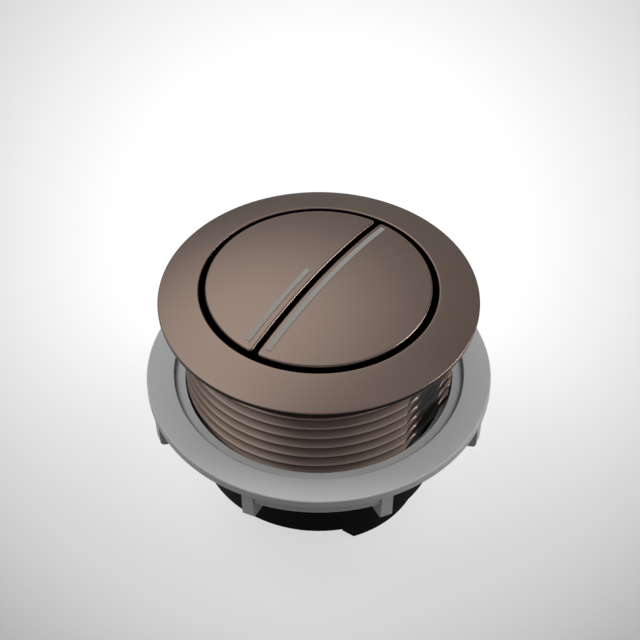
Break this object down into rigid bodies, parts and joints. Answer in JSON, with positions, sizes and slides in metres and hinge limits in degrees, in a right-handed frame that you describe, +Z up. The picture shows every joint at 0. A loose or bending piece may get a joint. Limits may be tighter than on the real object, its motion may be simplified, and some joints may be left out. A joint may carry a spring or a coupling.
{
  "type": "push button cistern actuator",
  "caption": "Round dual flush push button for a cistern lid: domed bezel on a threaded barrel, half-disc buttons, grey gusseted lock nut and black inner body with push rods.",
  "frame": {"origin": "on the barrel's axis, in the plane of the ends of the two feet", "axes": "+Z up along the barrel and out through the buttons, Y along the gap between the two buttons, +X towards the full-flush button with the long bar"},
  "size_m": [0.0842, 0.0842, 0.0659],
  "materials": {
    "bronze_coating": "satin metallic bronze coating over moulded plastic",
    "grey_plastic": "fine matt moulded",
    "black_plastic": "fine matt moulded",
    "black_rubber": "matt",
    "bright_steel": "bright drawn"
  },
  "bodies": {
    "body": {"bezel": "bronze_coating", "flange_gasket": "black_rubber", "housing": "black_plastic", "guide_frame": "black_plastic", "guide_screws": "bright_steel", "full_flush_spring": "bright_steel", "half_flush_spring": "bright_steel"},
    "lock_nut": {"lock_nut": "grey_plastic"},
    "full_flush": {"full_flush_cap": "bronze_coating", "full_flush_carrier": "black_plastic", "full_flush_clip": "bright_steel", "full_flush_rod": "bright_steel", "full_flush_rod_nut": "bright_steel", "full_flush_rod_tip": "black_rubber"},
    "half_flush": {"half_flush_cap": "bronze_coating", "half_flush_carrier": "black_plastic", "half_flush_clip": "bright_steel", "half_flush_rod": "bright_steel", "half_flush_rod_nut": "bright_steel", "half_flush_rod_tip": "black_rubber"}
  },
  "joints": [
    {"name": "full_flush_press", "type": "slide", "parent": "body", "child": "full_flush", "axis": [0, 0, -1], "range_m": [0, 0.006], "stiffness_N_per_m": 300, "springref_m": -0.005, "deforming": ["full_flush_spring"]},
    {"name": "half_flush_press", "type": "slide", "parent": "body", "child": "half_flush", "axis": [0, 0, -1], "range_m": [0, 0.006], "stiffness_N_per_m": 300, "springref_m": -0.005, "deforming": ["half_flush_spring"]},
    {"name": "lock_nut_turn", "type": "hinge", "parent": "body", "child": "lock_nut", "pos_m": [0, 0, 0.0296], "axis": [0, 0, 1], "continuous": true}
  ]
}
